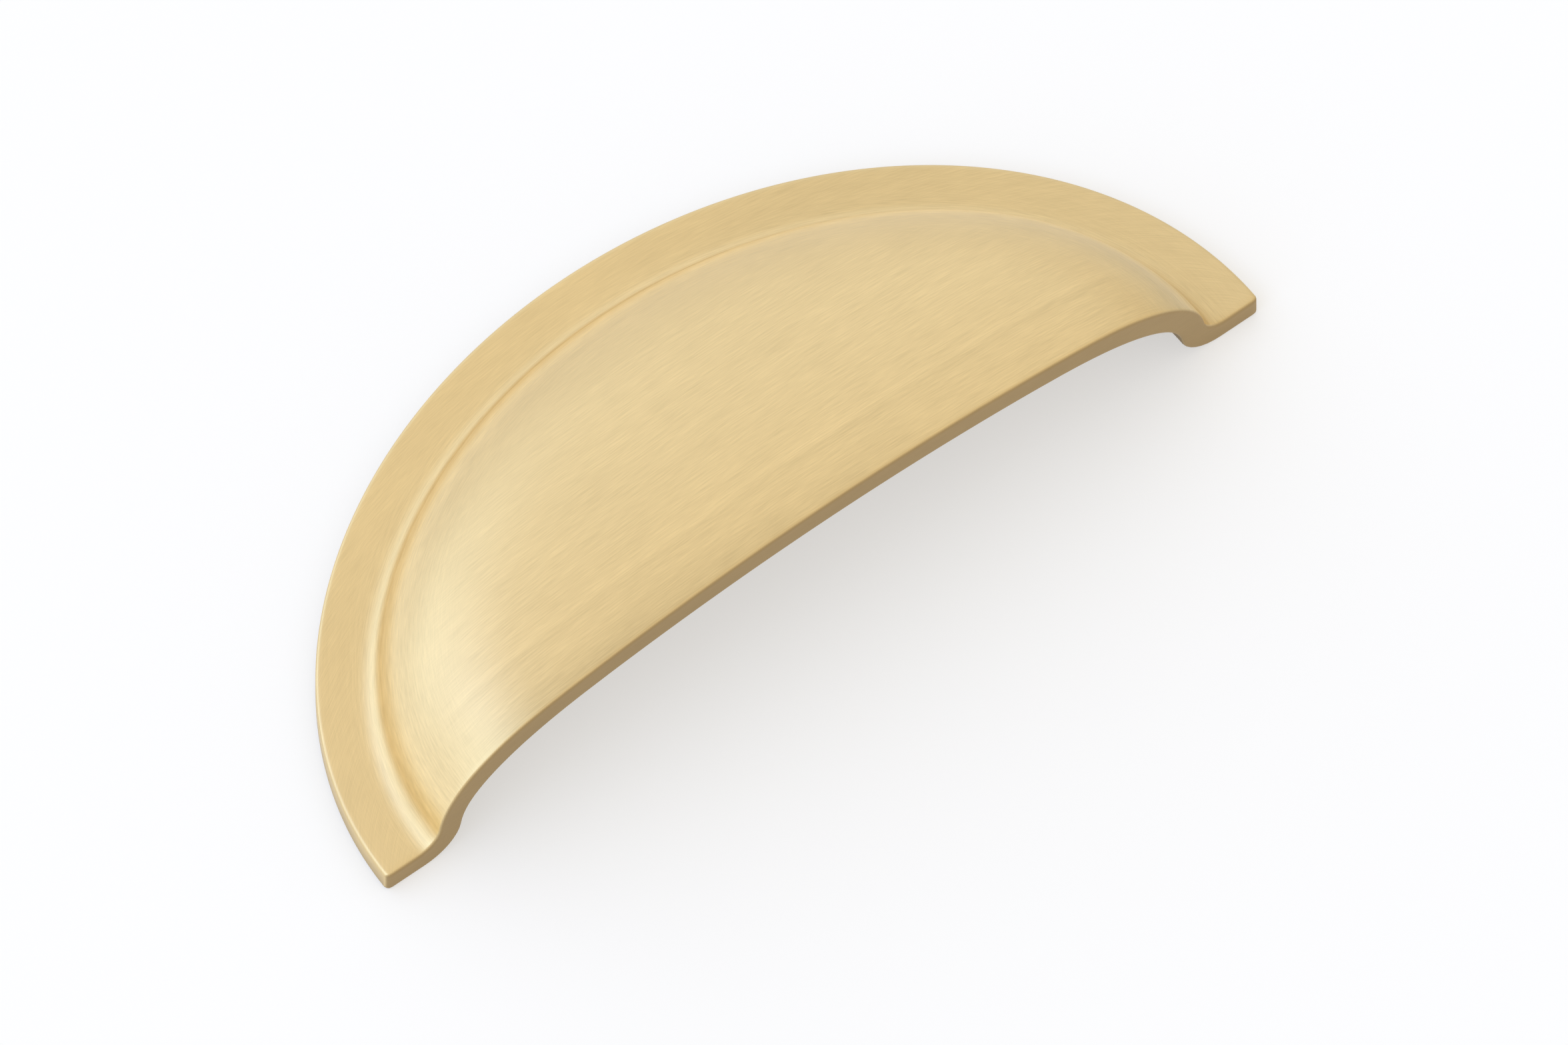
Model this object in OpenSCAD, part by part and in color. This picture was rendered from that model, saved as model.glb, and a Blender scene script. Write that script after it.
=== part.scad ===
// Half-moon cup drawer pull: one solid brass casting, screwed on from inside the drawer.
// The back lies on z = 0 against the drawer front, +Z points out into the room and +Y to the
// top of the arch. The origin is midway between the two screw holes, and the open finger side
// is the plane y = -hole_from_lip. The functions below count y from that open side.

/* [Outline] */
// Width from tip to tip along the open side
width = 105; // [100:0.5:120]
// Height from the open side to the top of the arch
height = 42; // [39:0.1:48]
// Thickness of the flat rim
rim_thickness = 2.9; // [2:0.1:4]
// Rounding of the rim's edges and of the lip's edges
edge_radius = 0.4; // [0.2:0.05:0.5]
// Rounding of the two pointed tips, seen from the front
tip_radius = 0.6; // [0.55:0.05:2]

/* [Cup] */
// Distance of the cup's outer wall from the outline at the two ends
wall_inset = 5.7; // [4.8:0.1:7]
// Distance of that wall from the outline at the top of the arch
back_inset = 6.1; // [4.8:0.1:7.5]
// Radius of the cove where the rim meets the wall
cove_radius = 1.6; // [0.6:0.1:2]
// Height of the lip's outer edge at the middle
lip_height = 20; // [18:0.1:24]
// Height that the crown aims for over the two end walls
end_height = 13.2; // [11:0.1:16]
// Height that the crown aims for over the back wall
back_height = 8.6; // [7.5:0.1:12]
// Width of the rounded shoulder between the wall and the crown
shoulder_width = 16; // [12:0.5:18]
// Squareness of that shoulder, 2 is a plain quarter ellipse
shoulder_power = 2.8; // [2.2:0.1:3.5]

/* [Hollow] */
// Thickness of the cup's side wall at its foot
side_wall = 3.4; // [2.8:0.1:4.5]
// Thickness of the crown, measured at the middle of the lip
crown_wall = 3.3; // [2.2:0.1:3.8]
// Rounding of the hollow's mouth on the back
mouth_radius = 4.5; // [2:0.1:5.5]
// Width of the hollow's rounded shoulder
hollow_shoulder = 18; // [14:0.5:19]
// Squareness of the hollow's shoulder
hollow_power = 3.2; // [2.4:0.1:3.8]

/* [Screw posts] */
// Distance between the two screw holes
hole_spacing = 76; // [70:0.5:78]
// Distance of the screw holes from the open side
hole_from_lip = 11; // [10:0.1:12]
// Diameter of a screw post
post_diameter = 7.5; // [6:0.1:8.5]
// Drilled diameter of a tapped hole
hole_diameter = 3.3; // [2.8:0.1:4]
// Depth of the straight part of a tapped hole
hole_depth = 8.5; // [6:0.1:9]
// Chamfer at the mouth of a tapped hole
hole_chamfer = 0.5; // [0.2:0.1:0.8]

/* [Hidden] */

half_width = width / 2;
// Places round the arch at which the section is worked out
arch_steps = 64;
cove_steps = 5;
mouth_steps = 5;
// The front and the back have as many stations, so that the open side is one strip between them
shoulder_steps = 11;
hollow_steps = cove_steps + shoulder_steps - mouth_steps;
crown_steps = 7;
ease_steps = 3;
// Share of the shoulder's rise that the cove and the mouth rounding take up
outer_start = 0.24;
inner_start = 0.3;
// Included angle of a drill's point
drill_point_angle = 118;
// How far a cut starts outside the metal
overrun = 1;
fine = 64;
brass = [0.86, 0.72, 0.45];

// Outline: half an ellipse, with t running from 0 at the right tip to 180 at the left one
function outline(t) = [half_width * cos(t), height * sin(t)];
function inward(t) =
    let (n = [height * cos(t), half_width * sin(t)])
    -n / norm(n);
function inset(t, d) = outline(t) + d * inward(t);

// Height of the smooth crown over the plan point p
function crown(p) = lip_height
    - (lip_height - end_height) * pow(p.x / (half_width - wall_inset), 2)
    - (lip_height - back_height) * pow(p.y / (height - back_inset), 2);

// One curved wall, as [depth behind the outer wall, height of its foot, radius of its foot,
// width of its shoulder, power of its shoulder, start of its shoulder, drop below the crown]
outer_wall = [0, rim_thickness, cove_radius, shoulder_width, shoulder_power, outer_start, 0];
inner_wall = [
    side_wall, 0, mouth_radius, hollow_shoulder, hollow_power, inner_start, crown_wall
];
function wall_foot(w, t) = wall_inset + (back_inset - wall_inset) * pow(sin(t), 2) + w[0];
function wall_base(w) = w[1];
function wall_radius(w) = w[2];
function wall_shoulder(w) = w[3];
function wall_power(w) = w[4];
function wall_start(w) = w[5];
function wall_drop(w) = w[6];

// Superellipse rise: 0 at the wall, 1 where the shoulder runs out into the crown
function rise(u, n) = u >= 1 ? 1 : pow(1 - pow(1 - max(u, 0), n), 1 / n);
function run(g, n) = 1 - pow(1 - pow(g, n), 1 / n);
// Angle at which the shoulder starts from the foot rounding
function foot_angle(w, t) =
    let (
        n = wall_power(w),
        g = wall_start(w),
        top = crown(inset(t, wall_foot(w, t))) - wall_drop(w) - wall_base(w),
        slope = top / wall_shoulder(w) * pow(1 / pow(g, n) - 1, (n - 1) / n)
    )
    atan(slope);
function foot_top(w, t) = wall_base(w) + wall_radius(w) * (1 - cos(foot_angle(w, t)));
// Height of the curved wall at the inset d, above the plan point p
function wall_height(w, t, d, p) =
    let (
        n = wall_power(w),
        g0 = wall_start(w),
        foot = crown(inset(t, wall_foot(w, t))) - wall_drop(w),
        low = (foot_top(w, t) - foot * g0) / (1 - g0),
        u = (d - wall_foot(w, t)) / wall_shoulder(w) + run(g0, n)
    )
    low + (crown(p) - wall_drop(w) - low) * rise(u, n);

// Inset of the stretch where the shoulder ends and only the crown is left
function shoulder_end(w, t) = wall_foot(w, t) + wall_shoulder(w) * (1 - run(wall_start(w), wall_power(w)));

// The stations of one wall, as [inset, share of the last ring, height or undef]
function foot_point(w, t, k, steps) =
    let (full = foot_angle(w, t), a = full * k / steps)
    [
        wall_foot(w, t) - wall_radius(w) * (sin(full) - sin(a)),
        wall_base(w) + wall_radius(w) * (1 - cos(a))
    ];
function shoulder_inset(w, t, k, steps) =
    let (
        n = wall_power(w),
        a0 = asin(pow(wall_start(w), n / 2)),
        a = a0 + (90 - a0) * k / steps
    )
    wall_foot(w, t) + wall_shoulder(w) * (1 - pow(cos(a), 2 / n) - run(wall_start(w), n));

// Tip rounding: how far a ring at the inset d starts above the open side
function tip_start(d) =
    d >= tip_radius ? 0 : tip_radius - sqrt(pow(tip_radius, 2) - pow(tip_radius - d, 2));

// Edge rounding: distances from an edge at which it is worked out, and the drop at one of them
eases = [for (k = [0:ease_steps]) edge_radius * (1 - sin(90 * (1 - k / ease_steps)))];
function ease_drop(s) =
    s >= edge_radius ? 0 : edge_radius - sqrt(max(pow(edge_radius, 2) - pow(edge_radius - s, 2), 0));
tip_insets = concat(eases, [(edge_radius + tip_radius) / 2, tip_radius]);
// Distance from the rounded outline, for a place on the rim at the inset d and the height y
function edge_distance(d, y) =
    d < tip_radius && y < tip_radius
    ? tip_radius - norm([tip_radius - d, tip_radius - y])
    : min(d, y);

// The angles of one ring whose ends are at the inset d: close together in the edge rounding
// at the open side, then evenly round the arch
function level_angle(d, y) = asin(y / (height - d * half_width / height));
function ring_angles(d) =
    let (
        low = [for (s = eases) level_angle(d, tip_start(d) + s)],
        first = low[ease_steps]
    )
    concat(
        [for (k = [0:ease_steps - 1]) low[k]],
        [for (i = [0:arch_steps]) first + (180 - 2 * first) * i / arch_steps],
        [for (k = [ease_steps - 1:-1:0]) 180 - low[k]]
    );

function flat_ring(d, z) = [for (t = ring_angles(d)) let (p = inset(t, d)) [p.x, p.y, z]];
function foot_ring(w, k, steps) = [
    for (t = ring_angles(foot_point(w, 0, k, steps)[0]))
        let (s = foot_point(w, t, k, steps), p = inset(t, s[0]))
        [p.x, p.y, s[1]]
];
function shoulder_ring(w, k, steps) = [
    for (t = ring_angles(shoulder_inset(w, 0, k, steps)))
        let (d = shoulder_inset(w, t, k, steps), p = inset(t, d))
        [p.x, p.y, wall_height(w, t, d, p)]
];
// A ring of the crown, drawn in towards its middle, with the rows along the lip kept straight
function crown_ring(w, share) = [
    for (t = ring_angles(shoulder_end(w, 0)))
        let (
            q = inset(t, shoulder_end(w, t)),
            row = min(q.y, edge_radius),
            p = [share * q.x, row + share * (q.y - row)]
        )
        [p.x, p.y, crown(p) - wall_drop(w)]
];
function wall_rings(w, foot_steps, steps) = concat(
    [for (d = tip_insets) flat_ring(d, wall_base(w))],
    [for (k = [0:foot_steps]) foot_ring(w, k, foot_steps)],
    [for (k = [1:steps]) shoulder_ring(w, k, steps)],
    [for (k = [crown_steps - 1:-1:1]) crown_ring(w, k / crown_steps)]
);

// The rings with their edges rounded: out is 1 on the front and -1 on the back. A place near an
// edge is moved into the metal, square to the rim or to the section along the lip.
function eased(rings, out) = [
    for (k = [0:len(rings) - 1]) [
        for (i = [0:len(rings[k]) - 1])
            let (
                p = rings[k][i],
                on_rim = k < len(tip_insets),
                s = on_rim ? edge_distance(tip_insets[k], p.y) : p.y,
                along = rings[min(k + 1, len(rings) - 1)][i] - rings[max(k - 1, 0)][i],
                square = sign(p.x) * [along.z, 0, -along.x]
            )
            s >= edge_radius ? p
            : p - out * ease_drop(s) * (on_rim ? [0, 0, 1] : square / norm(square))
    ]
];
function lip_middle(w, out) = [
    for (s = eases) [0, s, crown([0, s]) - wall_drop(w) - out * ease_drop(s)]
];

// The whole shell as one closed skin: front, back, rim edge and open side
module shell() {
    front = eased(wall_rings(outer_wall, cove_steps, shoulder_steps), 1);
    back = eased(wall_rings(inner_wall, mouth_steps, hollow_steps), -1);
    rings = len(front);
    last = len(front[0]) - 1;
    points = concat(
        [for (r = front) each r],
        lip_middle(outer_wall, 1),
        [for (r = back) each r],
        lip_middle(inner_wall, -1)
    );
    // Number of the point i of the ring k, where the ring after the last one is the lip's middle
    function spot(k, i) =
        k < rings ? k * (last + 1) + i : rings * (last + 1) + min(i, last - i, ease_steps);
    behind = len(points) / 2;
    front_faces = [
        for (k = [0:rings - 1], i = [0:last - 1])
            let (a = spot(k, i), b = spot(k, i + 1), c = spot(k + 1, i), d = spot(k + 1, i + 1))
            each concat([[a, c, b]], c == d ? [] : [[b, c, d]])
    ];
    back_faces = [for (f = front_faces) [f[0] + behind, f[2] + behind, f[1] + behind]];
    edge_faces = [
        for (i = [0:last - 1])
            each [[i, i + 1, behind + i], [i + 1, behind + i + 1, behind + i]]
    ];
    open_faces = [
        for (k = [0:rings - 1])
            let (a = spot(k, 0), b = spot(k + 1, 0), c = spot(k, last), d = spot(k + 1, last))
            each [
                [a, behind + a, b], [b, behind + a, behind + b],
                [c, d, behind + c], [d, behind + d, behind + c]
            ]
    ];
    polyhedron(
        points = points,
        faces = concat(front_faces, back_faces, edge_faces, open_faces),
        convexity = 6
    );
}

// Nearest place on the outline to the plan point p, found by repeating the foot-point rule
function nearest(p, t = 45, left = 12) =
    left == 0 ? t
    : let (focal = pow(half_width, 2) - pow(height, 2))
      nearest(p, atan2(height * p.y + focal * sin(t), half_width * p.x), left - 1);
// Height halfway into the metal under the front's skin, over the plan point p
function under_skin(p) =
    let (t = nearest(p))
    wall_height(outer_wall, t, norm(p - outline(t)), p) - crown_wall / 2;

// A screw post's top leans with the skin over it, so that it ends inside the metal all round
module post(side) {
    place = [hole_spacing / 2, hole_from_lip];
    reach = post_diameter / 2;
    right = under_skin(place + [reach, 0]);
    left = under_skin(place - [reach, 0]);
    upper = under_skin(place + [0, reach]);
    lower = under_skin(place - [0, reach]);
    lean_x = atan((right - left) / post_diameter);
    lean_y = atan((upper - lower) / post_diameter * cos(lean_x));
    mirror([side < 0 ? 1 : 0, 0, 0])
        intersection() {
            translate([place.x, place.y, 0]) cylinder(d = post_diameter, h = lip_height, $fn = fine);
            translate([place.x, place.y, (right + left + upper + lower) / 4])
                rotate([lean_y, -lean_x, 0])
                translate([-post_diameter, -post_diameter, -2 * lip_height])
                cube([2 * post_diameter, 2 * post_diameter, 2 * lip_height]);
        }
}

// Blind tapping hole, open to the back, with a drill point and a 45 degree chamfer at its mouth
module tapped_hole(side) {
    point_height = hole_diameter / 2 / tan(drill_point_angle / 2);
    mouth = hole_diameter + 4 * hole_chamfer;
    translate([side * hole_spacing / 2, hole_from_lip, 0]) {
        translate([0, 0, -overrun]) cylinder(d = hole_diameter, h = hole_depth + overrun, $fn = fine);
        translate([0, 0, hole_depth])
            cylinder(d1 = hole_diameter, d2 = 0, h = point_height, $fn = fine);
        translate([0, 0, -hole_chamfer])
            cylinder(d1 = mouth, d2 = hole_diameter, h = 2 * hole_chamfer, $fn = fine);
    }
}

module pull_body() {
    color(brass)
        translate([0, -hole_from_lip, 0])
        difference() {
            union() {
                shell();
                for (side = [-1, 1]) post(side);
            }
            for (side = [-1, 1]) tapped_hole(side);
        }
}

pull_body();
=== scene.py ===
"""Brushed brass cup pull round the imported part: its skin, its finish, the light and the camera."""

import logging
import math
from collections.abc import Callable, Iterator
from contextlib import contextmanager
from dataclasses import dataclass, field
from enum import Enum

import bmesh
import bpy
import numpy as np
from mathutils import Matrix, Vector
from mathutils.kdtree import KDTree


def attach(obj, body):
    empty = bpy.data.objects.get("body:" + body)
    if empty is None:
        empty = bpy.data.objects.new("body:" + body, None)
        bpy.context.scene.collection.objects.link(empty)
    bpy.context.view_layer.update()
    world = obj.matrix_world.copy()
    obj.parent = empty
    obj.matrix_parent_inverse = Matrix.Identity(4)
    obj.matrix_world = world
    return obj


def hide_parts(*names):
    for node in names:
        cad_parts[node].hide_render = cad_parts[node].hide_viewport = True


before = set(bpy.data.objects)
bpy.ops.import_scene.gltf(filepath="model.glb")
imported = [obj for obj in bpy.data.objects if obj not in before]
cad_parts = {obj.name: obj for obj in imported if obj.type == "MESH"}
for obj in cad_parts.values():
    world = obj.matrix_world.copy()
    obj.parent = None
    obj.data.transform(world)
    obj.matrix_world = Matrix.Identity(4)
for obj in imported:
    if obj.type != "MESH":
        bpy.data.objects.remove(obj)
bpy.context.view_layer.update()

# Metres in a millimetre.
MM = 0.001
# Points closer than these, in metres, are welded: along patch seams, and everywhere else.
SEAM_GAP = 1e-6
POINT_GAP = 1e-7
# Faces that meet at less than this angle are shaded as one smooth surface.
SMOOTH_ANGLE = math.radians(40)
# Layer that numbers the vertices along the open boundary while it is modelled.
EDGE_PLACE = "edge_place"
log = logging.getLogger("cup_pull")


class Skin(Enum):
    """The two skins of the casting, with the sign of the side that they face."""

    FRONT = 1
    BACK = -1


class Surface(Enum):
    """How a face of the casting was finished, kept as its material number while it is modelled."""

    BRUSHED = 0
    CAST = 1
    GROUND = 2


class Combination(Enum):
    """What happens to a tool that meets a piece."""

    JOIN = "UNION"
    CUT = "DIFFERENCE"


def select_only(piece: bpy.types.Object) -> None:
    """Deselects everything, then selects one object and makes it active.

    Args:
        piece: The object that the next operators act on.
    """
    bpy.ops.object.select_all(action="DESELECT")
    piece.select_set(True)
    bpy.context.view_layer.objects.active = piece


@contextmanager
def editing(piece: bpy.types.Object) -> Iterator[bpy.types.Mesh]:
    """Opens one object in edit mode, and leaves edit mode at the end.

    Args:
        piece: The object to edit.

    Yields:
        The object's mesh.
    """
    select_only(piece)
    bpy.ops.object.mode_set(mode="EDIT")
    yield piece.data
    bpy.ops.object.mode_set(mode="OBJECT")


def place_selected(mesh: bpy.types.Mesh, place: Callable[[bmesh.types.BMVert], Vector]) -> None:
    """Moves each selected vertex of a mesh in edit mode.

    Args:
        mesh: The mesh being edited.
        place: Gives a vertex its new place in metres.
    """
    bm = bmesh.from_edit_mesh(mesh)
    for v in bm.verts:
        if v.select:
            v.co = place(v)
    bmesh.update_edit_mesh(mesh)


def weld(gap: float) -> None:
    """Joins all points of the mesh being edited that are closer than the gap, in metres."""
    bpy.ops.mesh.select_all(action="SELECT")
    bpy.ops.mesh.remove_doubles(threshold=gap)


def combine(piece: bpy.types.Object, tool: bpy.types.Object, combination: Combination) -> None:
    """Joins a tool to a piece, or cuts it out, and removes the tool.

    Args:
        piece: The piece that changes.
        tool: The closed solid that is joined or cut out.
        combination: Which of the two happens.
    """
    select_only(piece)
    change = piece.modifiers.new(combination.name.lower(), "BOOLEAN")
    change.operation = combination.value
    change.object = tool
    change.solver = "EXACT"
    bpy.ops.object.modifier_apply(modifier=change.name)
    bpy.data.objects.remove(tool, do_unlink=True)


@dataclass(frozen=True)
class HalfEllipse:
    """The pull's outline seen from the front, counted from the open side, in millimetres.

    Angles run from 0 at the right tip to pi at the left one. Lengths are read from a table that
    starts and ends a little beyond the tips.
    """

    half_width: float
    height: float
    table_margin: float = math.pi / 8
    table_steps: int = 720
    nearest_rounds: int = 12

    def edge(self, t: np.ndarray) -> np.ndarray:
        """The outline's plan points at the angles t."""
        return np.stack([self.half_width * np.cos(t), self.height * np.sin(t)], -1)

    def inset(self, t: np.ndarray, d: np.ndarray | float) -> np.ndarray:
        """Places on the line that runs inside the outline.

        Args:
            t: Angles along the outline.
            d: Distance from the outline, one value or one for each angle.

        Returns:
            Plan points, one row each.
        """
        normal = np.stack([self.height * np.cos(t), self.half_width * np.sin(t)], -1)
        normal /= np.linalg.norm(normal, axis=-1, keepdims=True)
        return self.edge(t) - normal * np.reshape(d, (-1, 1))

    def level_angle(self, d: float, y: float) -> float:
        """The angle at which the line at the inset d reaches the small height y."""
        return math.asin(y / (self.height - d * self.half_width / self.height))

    def nearest(self, p: np.ndarray) -> np.ndarray:
        """Angles of the outline's places nearest to plan points, by repeating the foot-point rule.

        Args:
            p: Plan points, one row each.

        Returns:
            One angle for each point.
        """
        focal = self.half_width**2 - self.height**2
        x, y = np.abs(p[:, 0]), p[:, 1]
        t = np.full(len(p), math.pi / 4)
        for _ in range(self.nearest_rounds):
            t = np.arctan2(self.height * y + focal * np.sin(t), self.half_width * x)
        return np.where(p[:, 0] < 0, math.pi - t, t)

    def arc_length(self, t: np.ndarray) -> np.ndarray:
        """Length along the outline, read from the table.

        Args:
            t: Angles along the outline.

        Returns:
            Lengths from the table's start, one for each angle.
        """
        first, last = -self.table_margin, math.pi + self.table_margin
        table = np.linspace(first, last, self.table_steps + 1)
        steps = np.linalg.norm(np.diff(self.edge(table), axis=0), axis=1)
        return np.interp(t, table, np.concatenate([[0], np.cumsum(steps)]))


@dataclass(frozen=True)
class CurvedWall:
    """One skin's way up from the rim: a foot rounding, a steep wall and a rounded shoulder.

    Sizes are in millimetres. The insets from the outline and the foot's radii are given for the
    two ends and for the top of the arch. base is the height that the foot starts from, shoulder
    and power are the width and the squareness of the superellipse, start is the share of its rise
    that the foot takes up, and drop is how far the skin lies under the crown.
    """

    end_inset: float
    back_inset: float
    base: float
    end_radius: float
    back_radius: float
    shoulder: float
    power: float
    start: float
    drop: float

    def inset(self, t: np.ndarray) -> np.ndarray:
        """Distance of the wall from the outline, at each angle."""
        return self.end_inset + (self.back_inset - self.end_inset) * np.sin(t) ** 2

    def foot_radius(self, t: np.ndarray) -> np.ndarray:
        """Radius of the foot rounding, at each angle."""
        return self.end_radius + (self.back_radius - self.end_radius) * np.sin(t) ** 2

    def first_run(self) -> float:
        """How far across the shoulder its rise has reached the wall's own start."""
        return 1 - (1 - self.start**self.power) ** (1 / self.power)

    def rise(self, u: np.ndarray) -> np.ndarray:
        """The share of the rise that is reached at the shares u of the shoulder's width."""
        return (1 - (1 - np.clip(u, 0, 1)) ** self.power) ** (1 / self.power)


@dataclass
class CupBody:
    """The casting: flat rim, domed cup and finger hollow, as one closed skin.

    Sizes are in millimetres and places count from the open side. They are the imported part's own,
    apart from the outer wall, whose foot is softer at the two ends. wall_inset and back_inset
    only say where the crown reaches end_height and back_height.
    """

    width: float = 105.0
    height: float = 42.0
    edge_radius: float = 0.4
    tip_radius: float = 0.6
    wall_inset: float = 5.7
    back_inset: float = 6.1
    lip_height: float = 20.0
    end_height: float = 13.2
    back_height: float = 8.6
    hole_from_lip: float = 11.0
    outer: CurvedWall = CurvedWall(
        end_inset=6.4,
        back_inset=6.1,
        base=2.9,
        end_radius=2.6,
        back_radius=1.6,
        shoulder=15.4,
        power=2.8,
        start=0.28,
        drop=0.0,
    )
    inner: CurvedWall = CurvedWall(
        end_inset=9.1,
        back_inset=9.5,
        base=0.0,
        end_radius=4.5,
        back_radius=4.5,
        shoulder=18.0,
        power=3.2,
        start=0.3,
        drop=3.3,
    )
    columns: int = 192
    ease_steps: int = 5
    foot_steps: int = 8
    shoulder_steps: int = 20
    rim_rows: tuple[float, ...] = (1.0, 1.8, 2.8)
    support: float = 0.15
    open_side_tilt: float = -0.5
    back_tilt: float = -0.02
    outline: HalfEllipse = field(init=False)

    def __post_init__(self) -> None:
        """Sets up the outline from the width and the height."""
        self.outline = HalfEllipse(self.width / 2, self.height)

    def crown(self, p: np.ndarray) -> np.ndarray:
        """Height of the crown, which falls to both ends and to the arch.

        Args:
            p: Plan points.

        Returns:
            Heights over the back, one for each point.
        """
        across = p[..., 0] / (self.outline.half_width - self.wall_inset)
        back = p[..., 1] / (self.height - self.back_inset)
        to_end = (self.lip_height - self.end_height) * across**2
        return self.lip_height - to_end - (self.lip_height - self.back_height) * back**2

    def wall_of(self, skin: Skin) -> CurvedWall:
        """The curved wall that belongs to a skin."""
        return self.outer if skin is Skin.FRONT else self.inner

    def foot_angle(self, wall: CurvedWall, t: np.ndarray) -> np.ndarray:
        """The steepness at which the foot rounding hands over to the shoulder.

        Args:
            wall: The skin's curved wall.
            t: Angles along the outline.

        Returns:
            The steepness in radians, one for each angle.
        """
        top = self.crown(self.outline.inset(t, wall.inset(t))) - wall.drop - wall.base
        n = wall.power
        return np.arctan(top / wall.shoulder * (1 / wall.start**n - 1) ** ((n - 1) / n))

    def shoulder_height(
        self, wall: CurvedWall, t: np.ndarray, d: np.ndarray, p: np.ndarray
    ) -> np.ndarray:
        """Height of a shoulder over plan points.

        Args:
            wall: The skin's curved wall.
            t: Angles of the points along the outline.
            d: Their distances from the outline.
            p: The plan points.

        Returns:
            Heights over the back, one for each point.
        """
        foot = self.crown(self.outline.inset(t, wall.inset(t))) - wall.drop
        foot_top = wall.base + wall.foot_radius(t) * (1 - np.cos(self.foot_angle(wall, t)))
        low = (foot_top - foot * wall.start) / (1 - wall.start)
        u = (d - wall.inset(t)) / wall.shoulder + wall.first_run()
        return low + (self.crown(p) - wall.drop - low) * wall.rise(u)

    def tip_start(self, d: float) -> float:
        """How far a line at the inset d starts above the open side, for the rounded tip."""
        r = self.tip_radius
        return 0.0 if d >= r else r - math.sqrt(r * r - (r - d) ** 2)

    def eases(self) -> list[float]:
        """Distances from an edge at which its rounding is worked out."""
        n = self.ease_steps
        return [self.edge_radius * (1 - math.cos(math.pi / 2 * k / n)) for k in range(n + 1)]

    def ease_drop(self, s: np.ndarray) -> np.ndarray:
        """How far the rounding of an edge has dropped at the distances s from it."""
        r = self.edge_radius
        return r - np.sqrt(np.maximum(r * r - np.maximum(r - s, 0) ** 2, 0))

    def rim_insets(self) -> list[float]:
        """Insets of the rows on the flat rim."""
        return [*self.eases(), (self.edge_radius + self.rim_rows[0]) / 2, *self.rim_rows]

    def station_count(self) -> int:
        """Number of rows in one skin, from the rim's edge to the end of the shoulder."""
        return len(self.rim_insets()) + self.foot_steps + 1 + self.shoulder_steps

    def station(self, skin: Skin, k: int, t: np.ndarray) -> tuple[np.ndarray, np.ndarray]:
        """One row of a skin before the open side's edges are rounded.

        Args:
            skin: The skin that the row is in.
            k: The row's number, from 0 at the rim's edge.
            t: Angles along the outline.

        Returns:
            The insets and the heights, one for each angle.
        """
        wall = self.wall_of(skin)
        flats = self.rim_insets()
        if k < len(flats):
            d = np.full_like(t, flats[k])
            y = self.outline.inset(t, d)[:, 1]
            r = self.tip_radius
            corner = r - np.hypot(r - d, r - y)
            gap = np.where((d < r) & (y < r), corner, np.minimum(d, y))
            return d, wall.base - skin.value * self.ease_drop(gap)
        k -= len(flats)
        foot = wall.inset(t)
        if k <= self.foot_steps:
            full = self.foot_angle(wall, t)
            a = full * k / self.foot_steps
            d = foot - wall.foot_radius(t) * (np.sin(full) - np.sin(a))
            return d, wall.base + wall.foot_radius(t) * (1 - np.cos(a))
        k -= self.foot_steps
        first = math.asin(wall.start ** (wall.power / 2))
        a = first + (math.pi / 2 - first) * k / self.shoulder_steps
        far = 1 - math.cos(a) ** (2 / wall.power) if k < self.shoulder_steps else 1.0
        d = foot + wall.shoulder * (far - wall.first_run())
        return d, self.shoulder_height(wall, t, d, self.outline.inset(t, d))

    def row(self, skin: Skin, k: int) -> np.ndarray:
        """The places of one row round the arch, between the two rounded ends.

        Args:
            skin: The skin that the row is in.
            k: The row's number, from 0 at the rim's edge.

        Returns:
            Points in millimetres, from the right end to the left one.
        """
        first = self.end_angle(skin, k, self.edge_radius)
        t = np.linspace(first, math.pi - first, self.columns + 1)
        d, z = self.station(skin, k, t)
        return np.column_stack([self.outline.inset(t, d), z])

    def end_angle(self, skin: Skin, k: int, level: float) -> float:
        """The angle at which a row comes down to a level over its own start."""
        d = float(self.station(skin, k, np.zeros(1))[0][0])
        return self.outline.level_angle(d, self.tip_start(d) + level)

    def lip_row(self, skin: Skin, level: float, count: int) -> np.ndarray:
        """Evenly spaced places along the crown at one level over the open side.

        Args:
            skin: The skin that the places are in.
            level: Height over the open side.
            count: Number of places, the two ends included.

        Returns:
            Points in millimetres, from the right to the left.
        """
        last = self.station_count() - 1
        t = np.array([self.end_angle(skin, last, level)])
        end = self.outline.inset(t, self.station(skin, last, t)[0])[0]
        p = np.column_stack([np.linspace(end[0], -end[0], count), np.full(count, end[1])])
        return np.column_stack([p, self.crown(p) - self.wall_of(skin).drop])

    def open_edge(self, skin: Skin, level: float) -> np.ndarray:
        """A skin's edge at the open side, from tip to tip, rounded down to one level.

        Args:
            skin: The skin that the edge belongs to.
            level: Height over the open side, up to the edge radius.

        Returns:
            Points in millimetres: the right end of every row, the lip, and the left ends.
        """
        right = []
        for k in range(self.station_count()):
            t = np.array([self.end_angle(skin, k, level)])
            d, z = self.station(skin, k, t)
            right.append([*self.outline.inset(t, d)[0], z[0]])
        side = np.array(right)
        lip = self.lip_row(skin, level, self.columns // 2 + 1)[1:-1]
        chain = np.vstack([side, lip, side[::-1] * [-1, 1, 1]])
        flats = len(self.rim_insets())
        along = np.gradient(chain, axis=0)
        square = np.column_stack([along[:, 2], np.zeros(len(chain)), -along[:, 0]])
        square /= np.linalg.norm(square, axis=1, keepdims=True)
        square[:flats] = square[-flats:] = 0
        drop = self.ease_drop(np.full(len(chain), level))
        return chain - skin.value * square * drop[:, None]

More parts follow.
